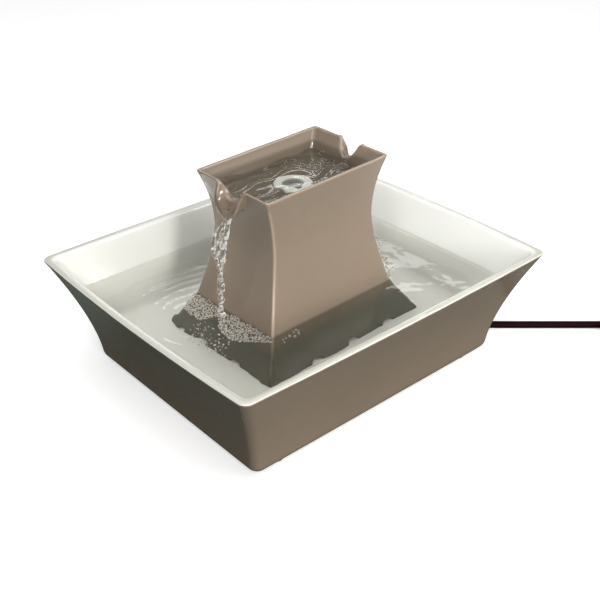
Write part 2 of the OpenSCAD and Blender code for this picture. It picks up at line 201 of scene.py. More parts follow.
def loft_faces(nring, n, close_ring=False, start=0):
    """Quads between consecutive rings of n points each."""
    i = np.arange(n)
    j = (i + 1) % n
    out = []
    last = nring if close_ring else nring - 1
    for k in range(last):
        a, b = start + k * n, start + ((k + 1) % nring) * n
        out.append(np.stack([a + i, a + j, b + j, b + i], 1))
    return np.concatenate(out)


def arc(cx, cy, r, a0, n):
    a = np.radians(a0 + np.linspace(0, 90, n))
    return np.stack([cx + r * np.cos(a), cy + r * np.sin(a)], 1)


def rrect(a, b, r, na=13, nx=54, ny=46):
    """Rounded rectangle, counter-clockwise."""
    w = lambda p, q, n: np.asarray(p) + (np.asarray(q) - np.asarray(p)) * np.linspace(0, 1, n + 2)[1:-1, None]
    return np.concatenate([
        arc(a - r, b - r, r, 0, na), w((a - r, b), (r - a, b), nx),
        arc(r - a, b - r, r, 90, na), w((-a, b - r), (-a, r - b), ny),
        arc(r - a, r - b, r, 180, na), w((r - a, -b), (a - r, -b), nx),
        arc(a - r, r - b, r, 270, na), w((a, r - b), (a, b - r), ny)])


def bowed(p, a, b, bx, by):
    q = p.copy()
    q[:, 0] += np.sign(p[:, 0]) * bx * np.maximum(0, 1 - (p[:, 1] / b) ** 2) * (np.abs(p[:, 0]) / a) ** 4
    q[:, 1] += np.sign(p[:, 1]) * by * np.maximum(0, 1 - (p[:, 0] / a) ** 2) * (np.abs(p[:, 1]) / b) ** 4
    return q


def ring3(a, b, r, z, bx=0.0, by=0.0):
    q = bowed(rrect(a, b, r), a, b, bx, by)
    return np.concatenate([q, np.full((len(q), 1), float(z))], 1)


def surface_nets(fn, lo, hi, h, steps=3):
    """Iso-surface of fn = 0 (negative inside) on a grid of spacing h, vertices pulled onto the surface."""
    ax = [np.arange(l, u + h, h) for l, u in zip(lo, hi)]
    X, Y, Z = np.meshgrid(*ax, indexing="ij")
    F = fn(X, Y, Z).astype(np.float32)
    nx, ny, nz = F.shape
    S = F < 0
    c = np.zeros((nx - 1, ny - 1, nz - 1), np.int8)
    for i in (0, 1):
        for j in (0, 1):
            for k in (0, 1):
                c += S[i:nx - 1 + i, j:ny - 1 + j, k:nz - 1 + k]
    cells = np.argwhere((c > 0) & (c < 8))
    idx = -np.ones((nx - 1, ny - 1, nz - 1), np.int64)
    idx[tuple(cells.T)] = np.arange(len(cells))
    acc = np.zeros((len(cells), 3))
    cnt = np.zeros(len(cells))
    corners = [(i, j, k) for i in (0, 1) for j in (0, 1) for k in (0, 1)]
    for p in corners:
        for q in corners:
            if sum(abs(a - b) for a, b in zip(p, q)) != 1 or p > q:
                continue
            fp = F[tuple((cells + p).T)]
            fq = F[tuple((cells + q).T)]
            m = (fp < 0) != (fq < 0)
            t = np.where(m, fp / np.where(m, fp - fq, 1), 0)
            pos = np.asarray(p) + (np.asarray(q) - np.asarray(p)) * t[:, None]
            acc += np.where(m[:, None], pos, 0)
            cnt += m
    v = (cells + acc / np.maximum(cnt, 1)[:, None]) * h + np.asarray(lo)
    quads = []
    for axis in range(3):
        o1, o2 = [a for a in range(3) if a != axis]
        sl0 = [slice(None)] * 3
        sl1 = [slice(None)] * 3
        sl0[axis] = slice(0, -1)
        sl1[axis] = slice(1, None)
        ch = S[tuple(sl0)] != S[tuple(sl1)]
        e = np.argwhere(ch)
        ok = (e[:, o1] > 0) & (e[:, o2] > 0) & (e[:, o1] < F.shape[o1] - 1) & (e[:, o2] < F.shape[o2] - 1)
        e = e[ok]
        inside = S[tuple(e.T)]
        d1 = np.zeros(3, int)
        d2 = np.zeros(3, int)
        d1[o1] = 1
        d2[o2] = 1
        q = np.stack([idx[tuple((e - d1 - d2).T)], idx[tuple((e - d2).T)], idx[tuple(e.T)], idx[tuple((e - d1).T)]], 1)
        flip = inside if axis != 1 else ~inside
        q = np.where(flip[:, None], q, q[:, ::-1])
        quads.append(q)
    quads = np.concatenate(quads)
    eps = 0.05 * h

    def grad(p):
        g = np.empty_like(p)
        for a in range(3):
            d = np.zeros(3)
            d[a] = eps
            g[:, a] = (fn(*(p + d).T) - fn(*(p - d).T)) / (2 * eps)
        return g
    for _ in range(steps):
        g = grad(v)
        f = fn(*v.T)
        s = f / np.maximum((g * g).sum(1), 1e-6)
        step = -g * s[:, None]
        length = np.linalg.norm(step, axis=1)
        v += step * np.minimum(1, 0.6 * h / np.maximum(length, 1e-9))[:, None]
    return v, quads, grad


def smax(a, b, k):
    h = np.clip(0.5 + 0.5 * (a - b) / k, 0, 1)
    return b * (1 - h) + a * h + k * h * (1 - h)


def smin(a, b, k):
    return -smax(-a, -b, k)


def sstep(t):
    t = np.clip(t, 0, 1)
    return t * t * (3 - 2 * t)


def rbox2(dx, dy, r):
    """Rounded box in the plane from distances beyond its half sizes."""
    qx, qy = dx + r, dy + r
    return np.sqrt(np.maximum(qx, 0) ** 2 + np.maximum(qy, 0) ** 2) + np.minimum(np.maximum(qx, qy), 0) - r


def tx(z):
    a = 49.4 + 29.8 * (np.maximum(122 - z, 0) / 110) ** 1.42
    b = 49.4 + 9.9 * (np.maximum(z - 122, 0) / 44.0) ** 1.95
    return np.where(z < 122, a, b)


def ty(z):
    a = 34.4 + 26.4 * (np.maximum(125 - z, 0) / 113) ** 1.6
    b = 34.4 + 5.0 * (np.maximum(z - 125, 0) / 41.0) ** 1.9
    return np.where(z < 125, a, b)


TOP_Z = 166.0
MOUTH = (0.9, 0.02, 0.015)


def mouth_z(x, y, z):
    """Height measured in the tower's own shape, whose mouth slopes a little."""
    return z - sstep((z - 112) / 40.0) * (MOUTH[0] + MOUTH[1] * x + MOUTH[2] * y)


TURN = math.radians(1.5)
SPOUT_OFF = 1.4


def turned(v, back=False):
    """Points turned with the tower on its seat, or back into the tower's own frame."""
    c, s = math.cos(TURN), math.sin(TURN) * (-1 if back else 1)
    v = np.asarray(v, float)
    out = v.copy()
    out[..., 0] = v[..., 0] * c - v[..., 1] * s
    out[..., 1] = v[..., 0] * s + v[..., 1] * c
    return out


# ---------------------------------------------------------------- materials
TAUPE = srgb(143, 126, 109)
# paler glaze tone: thin glaze over sharp ridges, and also the painted highlight along the tower's upright corners
TAUPE_THIN_GLAZE_HIGHLIGHT = srgb(196, 174, 156)
WHITE = srgb(240, 241, 235)


def attr(nt, name):
    a = nt.nodes.new("ShaderNodeAttribute")
    a.attribute_name = name
    return a.outputs["Fac"]


def glaze(name, two_tone=False):
    """Fired glaze: slow colour drift, fine speckle, paler where it runs thin over sharp ridges and with a painted
    highlight along the tower's upright corners; the one-tone glaze also takes painted shade below the water line and
    low in the tray, the two-tone one a painted shade on its rim.
    """
    m, nt, p, out = new_mat(name)
    c = coords(nt)
    drift = noise(nt, c, 16, 3, 0.55)
    speck = noise(nt, c, 620, 2, 0.6)
    base = mix(nt, tuple(v * 0.93 for v in TAUPE), tuple(v * 1.06 for v in TAUPE), drift)
    grain = ramp(nt, speck, [(0.30, (0.55, 0.52, 0.48)), (0.42, (1, 1, 1)), (0.66, (1, 1, 1)), (0.80, (1.12, 1.1, 1.08))])
    base = mix(nt, base, grain, 0.14, "MULTIPLY")
    # paler over sharp ridges: partly thin glaze, partly a painted highlight, strongest along the tower's upright
    # corners
    base = mix(nt, base, TAUPE_THIN_GLAZE_HIGHLIGHT, attr(nt, "edge"))
    if not two_tone:
        # painted shade: darker and greener below the water line, and inside the tray darker overall and darker towards
        # the bottom
        base = mix(nt, base, (0.28, 0.355, 0.32), attr(nt, "painted_shade"), "MULTIPLY")
    if two_tone:
        white = mix(nt, tuple(v * 0.97 for v in WHITE), WHITE, drift)
        wob = noise(nt, c, 90, 3, 0.6)
        line = math_node(nt, "ADD", attr(nt, "inside"), math_node(nt, "MULTIPLY", math_node(nt, "SUBTRACT", wob, 0.5), 0.16))
        fac = ramp(nt, line, [(0.44, (0, 0, 0)), (0.50, (1, 1, 1))])
        rust = ramp(nt, line, [(0.36, (0, 0, 0)), (0.44, (1, 1, 1)), (0.52, (0, 0, 0))])
        base = mix(nt, base, white, fac)
        base = mix(nt, base, srgb(176, 160, 142), math_node(nt, "MULTIPLY", rust, 0.8))
        # painted shade: the top of the rim darkened
        base = mix(nt, base, (0.76, 0.745, 0.70), attr(nt, "rim"), "MULTIPLY")
        bare = attr(nt, "bare")
        bisque = mix(nt, srgb(206, 196, 180), srgb(190, 178, 160), noise(nt, c, 260, 4, 0.7))
        base = mix(nt, base, bisque, bare)
        nt.links.new(map_range(nt, bare, 0, 1, 0.16, 0.75), p.inputs["Roughness"])
    else:
        nt.links.new(map_range(nt, noise(nt, c, 45, 2, 0.5), 0.3, 0.7, 0.15, 0.24), p.inputs["Roughness"])
    nt.links.new(base, p.inputs["Base Color"])
    p.inputs["IOR"].default_value = 1.52
    p.inputs["Coat Weight"].default_value = 0.5
    p.inputs["Coat Roughness"].default_value = 0.06
    n1 = bump(nt, noise(nt, c, 60, 2, 0.5), 0.22, 0.0006)
    n2 = bump(nt, noise(nt, c, 420, 2, 0.5), 0.10, 0.00015, n1)
    nt.links.new(n2, p.inputs["Normal"])
    nt.links.new(n1, p.inputs["Coat Normal"])
    return m


def plastic(name, rgb, rough=0.42, grain=700, depth=0.00004, var=0.10, coat=0.0, sheen=0.0, metal=0.0):
    """Moulded plastic or rubber with fine grain and slight unevenness in colour."""
    m, nt, p, out = new_mat(name)
    c = coords(nt)
    big = noise(nt, c, 55, 3, 0.6)
    fine = noise(nt, c, grain, 2, 0.6)
    a = tuple(v * (1 - var) for v in rgb)
    b = tuple(min(1, v * (1 + var)) for v in rgb)
    nt.links.new(mix(nt, a, b, big), p.inputs["Base Color"])
    nt.links.new(map_range(nt, math_node(nt, "ADD", big, fine), 0.6, 1.4, rough * 0.8, min(1, rough * 1.2)), p.inputs["Roughness"])
    nt.links.new(bump(nt, fine, 0.5, depth), p.inputs["Normal"])
    p.inputs["Metallic"].default_value = metal
    p.inputs["Coat Weight"].default_value = coat
    p.inputs["Coat Roughness"].default_value = 0.1
    p.inputs["Sheen Weight"].default_value = sheen
    return m


def felt(name, rgb, scale=900):
    m, nt, p, out = new_mat(name)
    c = coords(nt)
    f = noise(nt, c, scale, 4, 0.75, 1.5)
    g = noise(nt, c, 90, 3, 0.6)
    col = mix(nt, tuple(v * 0.78 for v in rgb), tuple(min(1, v * 1.12) for v in rgb), f)
    nt.links.new(mix(nt, col, tuple(v * 0.85 for v in rgb), math_node(nt, "MULTIPLY", g, 0.5)), p.inputs["Base Color"])
    p.inputs["Roughness"].default_value = 0.95
    p.inputs["Sheen Weight"].default_value = 0.3
    nt.links.new(bump(nt, f, 0.9, 0.0006), p.inputs["Normal"])
    return m


def foam_mat(name, rgb):
    m, nt, p, out = new_mat(name)
    c = coords(nt)
    v = nt.nodes.new("ShaderNodeTexVoronoi")
    v.feature = "DISTANCE_TO_EDGE"
    v.inputs["Scale"].default_value = 650
    nt.links.new(c, v.inputs["Vector"])
    # painted shade in the pores: the middle of each cell darkened, the struts at full colour
    painted_pore_shade = ramp(nt, v.outputs["Distance"], [(0.0, (1, 1, 1)), (0.18, (0.25, 0.25, 0.25)), (1, (0.02, 0.02, 0.02))])
    nt.links.new(mix(nt, tuple(x * 0.25 for x in rgb), rgb, painted_pore_shade), p.inputs["Base Color"])
    p.inputs["Roughness"].default_value = 0.9
    nt.links.new(bump(nt, painted_pore_shade, 1.0, 0.0008), p.inputs["Normal"])
    return m


def metal(name, rgb, rough=0.3, along=(1, 1, 1)):
    m, nt, p, out = new_mat(name)
    c = coords(nt, tuple(900 if a else 20 for a in along))
    f = noise(nt, c, 1.0, 3, 0.6)
    nt.links.new(mix(nt, tuple(v * 0.85 for v in rgb), rgb, f), p.inputs["Base Color"])
    p.inputs["Metallic"].default_value = 1.0
    nt.links.new(map_range(nt, f, 0.3, 0.7, rough * 0.75, rough * 1.3), p.inputs["Roughness"])
    nt.links.new(bump(nt, f, 0.2, 0.00003), p.inputs["Normal"])
    return m


def water_mat(name, tint=(0.80, 0.79, 0.77), shade=(0.70, 0.69, 0.66), rough=0.0, relief=0.12):
    """Clear water; rays from lamps pass straight through so that what lies below stays lit."""
    m, nt, p, out = new_mat(name)
    p.inputs["Base Color"].default_value = (*tint, 1)
    p.inputs["Transmission Weight"].default_value = 1.0
    p.inputs["Roughness"].default_value = rough
    p.inputs["IOR"].default_value = 1.333
    c = coords(nt)
    b = bump(nt, noise(nt, c, 150, 3, 0.55, 0.6), relief, 0.0006)
    nt.links.new(b, p.inputs["Normal"])
    lp = nt.nodes.new("ShaderNodeLightPath")
    tr = nt.nodes.new("ShaderNodeBsdfTransparent")
    tr.inputs["Color"].default_value = (*shade, 1)
    ms = nt.nodes.new("ShaderNodeMixShader")
    nt.links.new(lp.outputs["Is Shadow Ray"], ms.inputs[0])
    nt.links.new(p.outputs[0], ms.inputs[1])
    nt.links.new(tr.outputs[0], ms.inputs[2])
    nt.links.new(ms.outputs[0], out.inputs[0])
    return m


M_TOWER = glaze("taupe_glaze")
M_BASIN = glaze("basin_glaze", True)
M_WATER = water_mat("water", relief=0.05)
M_STREAM = water_mat("stream", (0.97, 0.98, 0.975), (0.85, 0.86, 0.85))
M_FROTH = water_mat("froth", (0.71, 0.68, 0.63), (0.80, 0.78, 0.75), 0.12)
M_FROTH.node_tree.nodes["Principled BSDF"].inputs["Transmission Weight"].default_value = 0.68
M_AERATED = water_mat("aerated_water", (0.97, 0.965, 0.95), (0.85, 0.85, 0.84), 0.05)
M_AERATED.node_tree.nodes["Principled BSDF"].inputs["Transmission Weight"].default_value = 0.58
M_CORD = plastic("cord_rubber", srgb(31, 9, 12), 0.62, 900, 0.00003, 0.15)
M_CORD.node_tree.nodes["Principled BSDF"].inputs["Specular IOR Level"].default_value = 0.04
M_BLACK = plastic("black_rubber", srgb(38, 38, 40), 0.6, 900, 0.00005, 0.15)
M_ABS = plastic("black_abs", srgb(40, 41, 44), 0.45, 1100, 0.00005, 0.10)
M_SATIN = plastic("white_plastic", srgb(232, 234, 228), 0.3, 800, 0.00002, 0.03, coat=0.3)

# ---------------------------------------------------------------- power cord
D = 6.0
route = [(39, -27, 4), (39, -34, 4), (39, -40, 4), (39, -46, 4)]
for a in range(190, 271, 10):
    route.append((64 + 25 * math.cos(math.radians(a)), -46 + 25 * math.sin(math.radians(a)), 4 - (a - 180) / 90))
route += [(72, -71, 3), (80, -71, 3), (95, -71, 3), (108, -71, 3), (120, -71, 3), (127, -71.5, 3), (134, -73, 3), (140.5, -75.8, 3), (146.4, -79.9, 3), (152, -85, 3)]
route += [(162, -94, 3), (180, -110, 3), (198, -126, 3), (216, -142, 3), (230, -154.4, 3), (240, -163.3, 3.1)]
COIL = (222.0, -200.0)
levels_r = [38, 32, 26, 26, 32, 38, 38, 38]
levels_z = [4, 4, 4, 10, 10, 10, 16, 16]
step = 10
start_a, end_a = 48, -90 - 360 * 7
ang = start_a
while ang > end_a - 1e-6:
    k = (-ang - 210 + 55) / 360.0        # turns passed, with the step spread over 110 degrees
    base = math.floor(k)
    w = min(1.0, (k - base) * 360 / 110.0)
    w = w * w * (3 - 2 * w)
    i0 = max(0, min(7, base))
    i1 = max(0, min(7, base + 1))
    if base < 0:
        i0 = i1 = 0
    r = levels_r[i0] * (1 - w) + levels_r[i1] * w
    z = levels_z[i0] * (1 - w) + levels_z[i1] * w
    if ang > 48 - 60:                     # settling from the straight run into the bottom layer
        s = (48 - ang) / 60.0
        r += 1.2 * (1 - s) ** 2
        z = 3.1 + (z - 3.1) * (s * s * (3 - 2 * s))
    route.append((COIL[0] + r * math.cos(math.radians(ang)), COIL[1] + r * math.sin(math.radians(ang)), z))
    ang -= step
route += [(212, -238, 15.9), (203, -238, 15.5), (193, -238, 15.1), (183, -238, 15), (173, -238, 15), (160, -238, 15)]


def smooth_curve(name, pts, radius, mat, body, res=4):
    cu = bpy.data.curves.new(name, "CURVE")
    cu.dimensions = "3D"
    sp = cu.splines.new("BEZIER")
    sp.bezier_points.add(len(pts) - 1)
    P = np.array(pts, float) * MM
    for i, b in enumerate(sp.bezier_points):
        b.co = P[i]
        a = P[max(i - 1, 0)]
        c = P[min(i + 1, len(P) - 1)]
        t = (c - a) / max(np.linalg.norm(c - a), 1e-9)
        b.handle_left_type = b.handle_right_type = "FREE"
        b.handle_left = P[i] - t * np.linalg.norm(P[i] - a) / 3
        b.handle_right = P[i] + t * np.linalg.norm(c - P[i]) / 3
    cu.resolution_u = res
    cu.bevel_depth = radius * MM
    cu.bevel_resolution = 5
    cu.use_fill_caps = True
    cu.materials.append(mat)
    ob = bpy.data.objects.new(name, cu)
    scene.collection.objects.link(ob)
    if body:
        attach(ob, body)
    return ob


cord = smooth_curve("free_power_cord", route, D / 2, M_CORD, "base")
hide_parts("power_cord", "cord_coil", "cord_tail")


def bezier_length(ob):
    dg = bpy.context.evaluated_depsgraph_get()
    total = 0
    sp = ob.data.splines[0].bezier_points
    for a, b in zip(sp[:-1], sp[1:]):
        t = np.linspace(0, 1, 9)[:, None]
        p = (1 - t) ** 3 * np.array(a.co) + 3 * (1 - t) ** 2 * t * np.array(a.handle_right) + 3 * (1 - t) * t ** 2 * np.array(b.handle_left) + t ** 3 * np.array(b.co)
        total += np.linalg.norm(np.diff(p, axis=0), axis=1).sum()
    return float(total)


CORD_LENGTH = bezier_length(cord)
print("cord length", round(CORD_LENGTH, 4))

# ---------------------------------------------------------------- basin
def bt(z):
    return max(0.0, (z - 3) / 87.0)


def bring(z, d, r):
    fl = 27 * bt(z) ** 1.6
    return ring3(121 + fl - d, 99 + fl - d, r, z, 4.0 * bt(z), 1.7 * bt(z))


FX, FY = 117.5, 95.5
rings, inside, bare, edge = [], [], [], []


def add(r, i=0.0, b=0.0, e=0.0):
    rings.append(r)
    inside.append(i)
    bare.append(b)
    edge.append(e)


for z, d in ((8.5, 9), (8.2, 9), (6, 9), (3, 9), (1.8, 8.9)):
    add(ring3(FX - d, FY - d, 6, z))
for z, d, b in ((1.2, 8.5, 1), (1.0, 7.8, 1), (1.0, 5.5, 1), (1.0, 3, 1), (1.0, 1.2, 1), (1.3, 0.4, 1), (1.9, 0, 0.6), (2.8, 0, 0), (3.7, 0, 0)):
    add(ring3(FX - d, FY - d, 6, z), b=b)
add(ring3(FX + 0.3, FY + 0.3, 6, 4.05))
add(ring3(FX + 1.2, FY + 1.2, 6.2, 4.2))
add(ring3(FX + 2.2, FY + 2.2, 6.4, 4.45))
add(bring(5.0, 0.95, 6.4), e=0.05)
add(bring(6.0, 0.45, 6.4), e=0.08)
add(bring(7.5, 0.12, 6.4), e=0.03)
for z in list(np.linspace(9, 85, 39)) + [86.5, 87.6]:
    add(bring(z, 0, 6.4))
add(bring(88.4, 0.0, 6.4), i=0.22, e=0.12)
add(bring(88.9, 0.12, 6.4), i=0.34, e=0.2)
add(bring(89.35, 0.42, 6.2), i=0.47)
add(bring(89.7, 0.85, 6), i=0.62)
add(bring(89.92, 1.4, 5.8), i=0.9)
for z, d in ((90.05, 2.1), (90.12, 3.0), (90.12, 3.9), (90.02, 4.8), (89.8, 5.6), (89.4, 6.25), (88.9, 6.7), (88.2, 6.95), (87.2, 7.0)):
    add(bring(z, d, 5), i=1)
for z in np.linspace(85.5, 24, 40):
    add(bring(z, 7, 6.5), i=1)
for z, d in ((22.5, 7.15), (21, 7.5), (19.8, 8.05), (18.6, 8.8), (17.4, 9.75), (16.4, 10.8), (15.5, 12.0), (14.7, 13.4), (14.1, 14.9), (13.6, 16.6), (13.25, 18.6), (13.06, 20.8), (13.0, 23)):
    add(bring(z, d, 8), i=1)
FLOOR_R = rings[-1].copy()
POST = np.array([39.0, 24.0])
th = np.arctan2(FLOOR_R[:, 1] / FLOOR_R[:, 1].max(), FLOOR_R[:, 0] / FLOOR_R[:, 0].max())


def circ(r, z):
    return np.stack([POST[0] + r * np.cos(th), POST[1] + r * np.sin(th), np.full(len(th), float(z))], 1)


for t in np.linspace(0, 1, 18)[1:]:
    add(FLOOR_R * (1 - t) + circ(14.0, 13.0) * t, i=1)
for r, z in ((13.0, 13.15), (12.0, 13.5), (11.3, 14.1), (10.8, 14.9), (10.55, 15.9), (10.5, 17), (10.5, 30), (10.5, 45), (10.5, 60), (10.5, 68.8), (10.35, 69.5), (9.95, 69.9), (9.4, 70), (8.4, 70), (7.6, 69.9), (7.15, 69.5), (7, 68.9)):
    add(circ(r, z), i=1)
for r, z, i in ((7, 60, 1), (7, 40, 0.6), (7, 20, 0), (7, 9.6, 0), (7.15, 9.0, 0), (7.6, 8.6, 0), (8.2, 8.5, 0)):
    add(circ(r, z), i=i)
REC = ring3(FX - 9, FY - 9, 6, 8.5)
for t in np.linspace(0, 1, 10)[1:-1]:
    add(circ(8.2, 8.5) * (1 - t) + REC * t)
nper = len(rings[0])
V = np.concatenate(rings)
F = loft_faces(len(rings), nper, close_ring=True)
rep = lambda a: np.repeat(np.asarray(a, float), nper)
crest = max(k for k, q in enumerate(rings) if q[0, 2] > 89.85)
# painted shade on the rim's top, used by the two-tone glaze
rim_painted_shade = [float(sstep((i - 0.45) / 0.5)) if k <= crest else 0.0 for k, i in enumerate(inside)]
basin = make_obj("basin_shell", V, F, [M_BASIN], None, attrs={"inside": rep(inside), "bare": rep(bare), "edge": rep(edge), "rim": rep(rim_painted_shade)})
prof = [(4, -2)] + [(4 * math.cos(math.radians(a)), 3.6 + 4 * math.sin(math.radians(a))) for a in range(0, 181, 10)] + [(-4, -2)]
cv = [(x, -71 + p[0], p[1]) for x in (FX - 12, FX + 4) for p in prof]
m = len(prof)
cf = [[i, (i + 1) % m, m + (i + 1) % m, m + i] for i in range(m)] + [list(range(m))[::-1], list(range(m, 2 * m))]
cutter = make_obj("notch_cutter", cv, cf, [M_BASIN], None, smooth=False)
bm_mod = basin.modifiers.new("notch", "BOOLEAN")
bm_mod.object = cutter
bm_mod.operation = "DIFFERENCE"
bm_mod.solver = "EXACT"
bpy.context.view_layer.update()
dg = bpy.context.evaluated_depsgraph_get()
cut = bpy.data.meshes.new_from_object(basin.evaluated_get(dg))
basin.modifiers.clear()
basin.data = cut
bpy.data.objects.remove(cutter)
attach(basin, "base")
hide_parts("basin")

# ---------------------------------------------------------------- tower
SILL, LIP = 153.6, 142.8


def spout_u(x, y):
    """Sideways place in a spout, seen from the middle of the tower; both spouts are alike under a half turn."""
    return np.where(x < 0, y - SPOUT_OFF, -(y + SPOUT_OFF))


def lip_floor(ax):
    t = np.clip((ax - 55.2) / 6.8, 0, 1.5)
    return SILL - (SILL - LIP) * t ** 2.0


def notch_w(u, z, x):
    """Half width of the opening: upright on one arm of the spout, sloping on the other; less at the +X end."""
    wl = np.interp(z, [138, 144.3, 152.9, 160, 163.4, 164.8, 166.4, 168], [8.8, 9.4, 9.9, 10.1, 10.5, 11.4, 13.2, 15.5])
    wr = np.interp(z, [138, 144.3, 148.4, 152.8, 158, 162, 164, 166.4, 168], [4.2, 6.4, 8.2, 9.8, 11.5, 13.2, 14.6, 17.4, 19.5])
    far = sstep((x + 20) / 40)
    wr, wl = wr * (1 - 0.38 * far), wl * (1 - 0.16 * far)
    return wr + (wl - wr) * sstep((u + 4) / 8)


def tower_f(x, y, z):
    """The tower in its own frame, before it is turned on its seat."""
    ax, ay = np.abs(x), np.abs(y)
    u = spout_u(x, y)
    sy = np.abs(u)
    flat = z
    z = mouth_z(x, y, z)
    a, b = tx(z), ty(z)
    d = rbox2(ax - a, ay - b, 2.3)
    d = smax(d, z - TOP_Z, 1.2)
    xe = 62.0 - 2.4 * sstep((z - 156.0) / 9.5)
    wn = notch_w(u, z, x)
    far = sstep((x + 20) / 40)
    back = np.clip((xe - ax) / 9, 0, 1.3)
    side = sstep((u + 4) / 8)
    wo = np.maximum((11.8 + 1.2 * side) * (1 - far * (0.30 - 0.16 * side)), wn + 1.9) + back * (2.0 - 0.8 * side)
    pipe = smax(sy - wo, 140.4 + 0.55 * (xe - ax).clip(-2, 12) - z, 18.0 - 8.0 * side)
    beak = smax(pipe, ax - xe, 1.1)
    beak = smax(beak, z - TOP_Z, 1.2)
    beak = smax(beak, 44 - ax, 1.0)
    d = smin(d, beak, 1.5)
    thin = 4.1 - 1.8 * sstep((z - 156.0) / 9.5)
    tray = smax(rbox2(ax - (a - thin), ay - (b - thin), 2.6), 142.5 - flat, 7.0)
    d = smax(d, -tray, 1.1)
    ch = smax(sy - wn, lip_floor(ax) - z, 12.0)
    ch = smax(ch, 44 - ax, 1.0)
    d = smax(d, -ch, 1.2)
    low = smax(rbox2(ax - (a - 4.6), ay - (b - 4.6), 3.0), flat - 136.3, 4.0)
    d = smax(d, -low, 0.9)
    d = smax(d, 13.0 - z, 0.9)
    rr = np.sqrt(x * x + y * y)
    hole = smax(rr - 12.5, 133.0 - z, 0.5)
    hole = np.maximum(hole, z - 148)
    d = smax(d, -hole, 0.8)
    s = np.where(y < 0, 1.0, -1.0)
    for xi in (-32.0, 6.0, 44.0):
        arch = np.sqrt((x * s - xi) ** 2 + (z - 13) ** 2) - 5.0
        d = smax(d, -smax(arch, 46 - ay, 1.0), 1.4)
    for yi in (-20.0, 20.0):
        arch = np.sqrt((y - yi) ** 2 + (z - 13) ** 2) - 5.0
        d = smax(d, -smax(arch, 64 - ax, 1.0), 1.4)
    return d


hg = 0.95
tv, tq, tgrad = surface_nets(tower_f, (-81.3, -63.0, 11.3), (81.5, 63.4, 171), hg)
off = 1.3
lap = -6 * tower_f(*tv.T)
for a in range(3):
    dd = np.zeros(3)
    dd[a] = off
    lap = lap + tower_f(*(tv + dd).T) + tower_f(*(tv - dd).T)
lap = lap / (off * off)
# paler bands over sharp ridges: partly thin glaze, partly painted highlight
tower_glaze_and_highlight = np.clip((lap - 0.25) / 1.0, 0, 0.26)
slant = np.abs(tgrad(tv)[:, :2])
slant = (2 * slant[:, 0] * slant[:, 1] / np.maximum((slant ** 2).sum(1), 1e-6)) ** 3
# painted highlight: a bright line down the tower's upright corners, from just above the foot to just below the mouth
painted_corner_highlight = 0.85 * slant * np.clip((lap - 0.15) / 0.15, 0, 1) * sstep((tv[:, 2] - 16) / 12) * sstep((161 - tv[:, 2]) / 6) * (np.abs(tv[:, 0]) > tx(tv[:, 2]) - 2.5) * (np.abs(tv[:, 1]) > ty(tv[:, 2]) - 2.5)
tower_glaze_and_highlight = np.maximum(tower_glaze_and_highlight, painted_corner_highlight)
tower_glaze_and_highlight = np.where(tv[:, 2] < 20, tower_glaze_and_highlight * 0.35, tower_glaze_and_highlight)
zt_ = tv[:, 2]
inner = (rbox2(np.abs(tv[:, 0]) - (tx(zt_) - 2.4), np.abs(tv[:, 1]) - (ty(zt_) - 2.4), 3.4) < 0) & (zt_ > 140)
# painted shade: the outside darkened below the basin's water line; inside the tray darker overall and darker towards
# the bottom
painted_shade = np.where(inner, 0.14 + 0.40 * sstep((161.6 - zt_) / 2.6) + 0.12 * sstep((152 - zt_) / 8), 0.62 * sstep((63.4 - zt_) / 1.2) + 0.38 * sstep((62 - zt_) / 24))
tower = make_obj("tower_shell", turned(tv), tq, [M_TOWER], "tower", attrs={"edge": tower_glaze_and_highlight, "painted_shade": painted_shade})
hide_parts("tower")

# ---------------------------------------------------------------- water
def waves(x, y, seed, n, wl, amp, aniso=(1.0, 1.0)):
    """Smooth random surface: a fixed sum of plane waves with wavelengths in the range wl."""
    r = np.random.default_rng(seed)
    out = np.zeros_like(x, dtype=float)
    for _ in range(n):
        a = r.uniform(0, 2 * np.pi)
        l = r.uniform(*wl)
        out += np.sin(2 * np.pi * (x * np.cos(a) / aniso[0] + y * np.sin(a) / aniso[1]) / l + r.uniform(0, 6.28))
    return amp * out / np.sqrt(n / 2)


LEVEL = 63.0
HIT = [(-70.5, 2.2), (70.5, -2.2)]


def level(x, y):
    h = np.full_like(x, LEVEL, dtype=float)
    wx = x + waves(x, y, 5, 6, (40, 90), 2.0)
    wy = y + waves(x, y, 6, 6, (40, 90), 2.0)
    for hx, hy in HIT:
        r = np.sqrt((wx - hx) ** 2 + (wy - hy) ** 2)
        h += 0.40 * np.exp(-r / 60) * np.sin(2 * np.pi * r / 9.0 - 0.7) * (0.10 + 0.90 * sstep((r - 26) / 16)) * (0.12 + 0.88 * sstep((y + 34) / 34))
        h += 1.2 * np.exp(-(r / 4.5) ** 2)
    h += waves(x, y, 7, 14, (24, 56), 0.11)
    h += waves(x, y, 8, 12, (7, 14), 0.025)
    q = turned(np.stack([x, y], -1), back=True)
    zt = np.full_like(x, LEVEL)
    dt = rbox2(np.abs(q[..., 0]) - tx(zt), np.abs(q[..., 1]) - ty(zt), 3.6)
    h += 1.0 * np.exp(-np.maximum(dt, 0) / 1.3)
    dw = -rbox2(np.abs(x) - (121 + 27 * bt(63) ** 1.6 - 7), np.abs(y) - (99 + 27 * bt(63) ** 1.6 - 7), 6)
    h += 0.9 * np.exp(-np.maximum(dw, 0) / 1.3)
    return h


